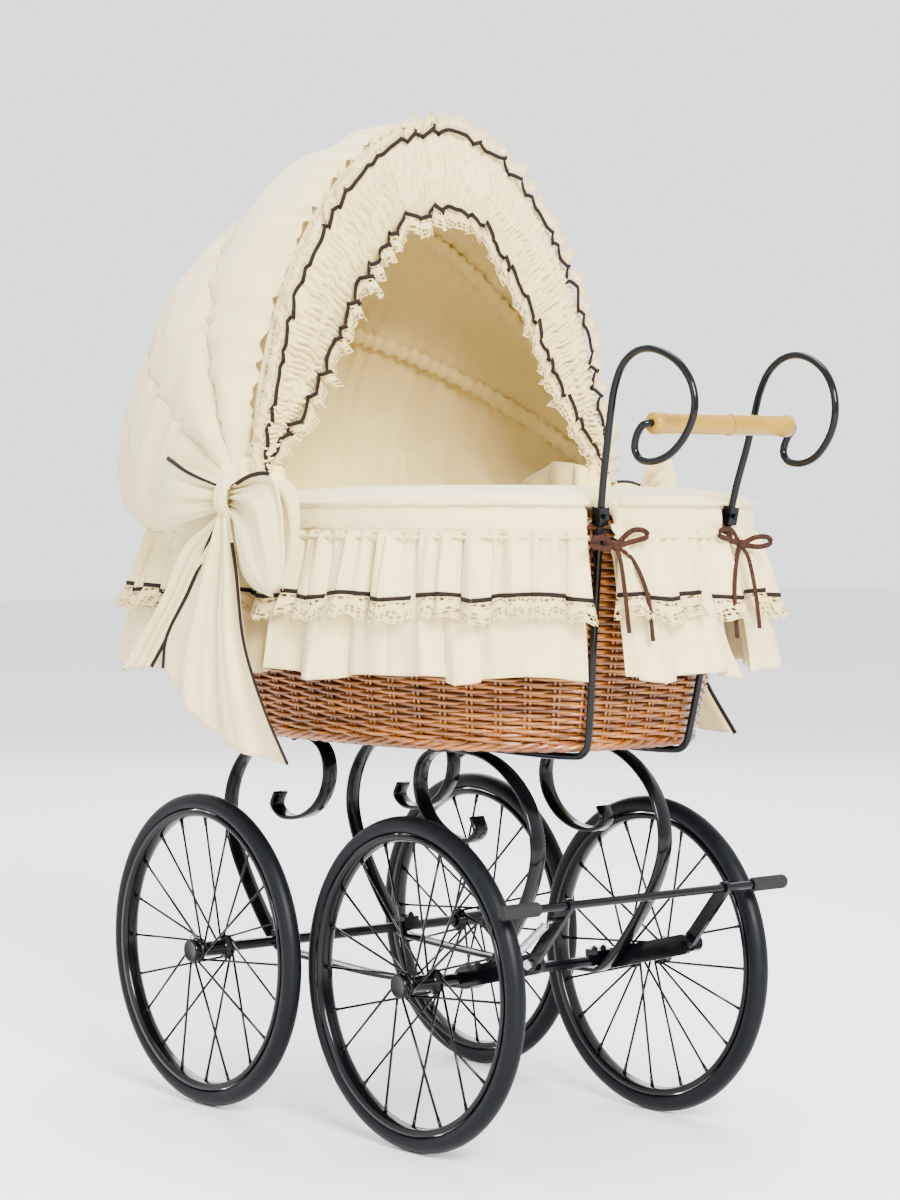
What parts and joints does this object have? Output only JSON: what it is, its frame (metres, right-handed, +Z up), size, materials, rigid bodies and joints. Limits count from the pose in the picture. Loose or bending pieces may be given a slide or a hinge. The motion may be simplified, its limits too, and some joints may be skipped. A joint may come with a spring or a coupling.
{
  "type": "doll pram",
  "caption": "Doll pram with an oval wicker basket, folding cloth hood, coverlet and skirt, scroll-spring chassis, spoked wheels, foot brake and a looped wire handle with a bamboo grip.",
  "frame": {"origin": "on the ground under the middle of the pram's bounding box", "axes": "+X towards the person pushing, +Y to that person's right, +Z up"},
  "size_m": [0.8651, 0.566, 1.002],
  "materials": {
    "tyre": "semi-gloss black rubber",
    "black_metal": "gloss black enamel",
    "bright_metal": "zinc-plated steel",
    "pad_rubber": "matt black rubber",
    "wicker": "varnished honey willow",
    "bamboo": "varnished bamboo",
    "cream_cotton": "plain woven cream cotton",
    "suede": "matt brown suede"
  },
  "bodies": {
    "chassis": {"axle_head": "black_metal", "axle_foot": "black_metal", "axle_saddle_head_left": "black_metal", "axle_saddle_head_right": "black_metal", "axle_saddle_foot_left": "black_metal", "axle_saddle_foot_right": "black_metal", "spring_frame_left": "black_metal", "spring_frame_right": "black_metal", "carrier_frame": "black_metal", "brake_bracket_left": "black_metal", "brake_bracket_right": "black_metal", "brake_bolt": "bright_metal", "brake_knob": "black_metal", "brake_spring": "bright_metal", "handle_rod_left": "black_metal", "handle_rod_right": "black_metal", "handle_clamp_left": "black_metal", "handle_clamp_right": "black_metal", "handle_screw_left": "black_metal", "handle_screw_right": "black_metal", "basket": "wicker", "mattress": "cream_cotton", "coverlet": "cream_cotton", "skirt_upper_foot": "cream_cotton", "skirt_upper_body": "cream_cotton", "skirt_lower_foot": "cream_cotton", "skirt_lower_body": "cream_cotton", "hood_bracket_left": "black_metal", "hood_bracket_right": "black_metal", "hood_pivot_left": "bright_metal", "hood_pivot_right": "bright_metal", "bow_left": "cream_cotton", "bow_right": "cream_cotton", "tie_left": "suede", "tie_right": "suede", "hood_cloth_back": "cream_cotton"},
    "wheel_head_left_body": {"tyre_head_left": "tyre", "wheel_head_left": "black_metal", "hub_cap_head_left": "black_metal"},
    "wheel_head_right_body": {"tyre_head_right": "tyre", "wheel_head_right": "black_metal", "hub_cap_head_right": "black_metal"},
    "wheel_foot_left_body": {"tyre_foot_left": "tyre", "wheel_foot_left": "black_metal", "hub_cap_foot_left": "black_metal"},
    "wheel_foot_right_body": {"tyre_foot_right": "tyre", "wheel_foot_right": "black_metal", "hub_cap_foot_right": "black_metal"},
    "hood_rear_body": {"hood_hoop_rear": "black_metal", "hood_cloth_middle": "cream_cotton"},
    "hood_middle_body": {"hood_hoop_middle": "black_metal", "hood_cloth_front": "cream_cotton"},
    "hood_front_body": {"hood_hoop_front": "black_metal", "hood_band": "cream_cotton"},
    "brake_body": {"brake_frame": "black_metal", "brake_pad_left": "pad_rubber", "brake_pad_right": "pad_rubber"},
    "grip_body": {"grip": "bamboo"}
  },
  "joints": [
    {"name": "wheel_head_left_spin", "type": "hinge", "parent": "chassis", "child": "wheel_head_left_body", "pos_m": [-0.192, -0.182, 0.16], "axis": [0, 1, 0], "continuous": true},
    {"name": "wheel_head_right_spin", "type": "hinge", "parent": "chassis", "child": "wheel_head_right_body", "pos_m": [-0.192, 0.182, 0.16], "axis": [0, 1, 0], "continuous": true},
    {"name": "wheel_foot_left_spin", "type": "hinge", "parent": "chassis", "child": "wheel_foot_left_body", "pos_m": [0.117, -0.156, 0.16], "axis": [0, 1, 0], "continuous": true},
    {"name": "wheel_foot_right_spin", "type": "hinge", "parent": "chassis", "child": "wheel_foot_right_body", "pos_m": [0.117, 0.156, 0.16], "axis": [0, 1, 0], "continuous": true},
    {"name": "hood_rear_fold", "type": "hinge", "parent": "chassis", "child": "hood_rear_body", "pos_m": [-0.0465, 0, 0.64], "axis": [0, -1, 0], "range_deg": [0, 22], "deforming": ["hood_cloth_back"]},
    {"name": "hood_middle_fold", "type": "hinge", "parent": "hood_rear_body", "child": "hood_middle_body", "pos_m": [-0.0465, 0, 0.64], "axis": [0, -1, 0], "range_deg": [0, 22], "deforming": ["hood_cloth_middle"]},
    {"name": "hood_front_fold", "type": "hinge", "parent": "hood_middle_body", "child": "hood_front_body", "pos_m": [-0.0465, 0, 0.64], "axis": [0, -1, 0], "range_deg": [0, 22], "deforming": ["hood_cloth_front"]},
    {"name": "brake_turn", "type": "hinge", "parent": "chassis", "child": "brake_body", "pos_m": [0.2255, 0, 0.187], "axis": [0, -1, 0], "range_deg": [0, 19.5], "deforming": ["brake_spring"]},
    {"name": "grip_roll", "type": "hinge", "parent": "chassis", "child": "grip_body", "pos_m": [0.3725, 0, 0.688], "axis": [0, 1, 0], "continuous": true}
  ],
  "couplings": [
    {"joint": "hood_middle_fold", "follows": "hood_rear_fold", "ratio": 1},
    {"joint": "hood_front_fold", "follows": "hood_rear_fold", "ratio": 1}
  ]
}
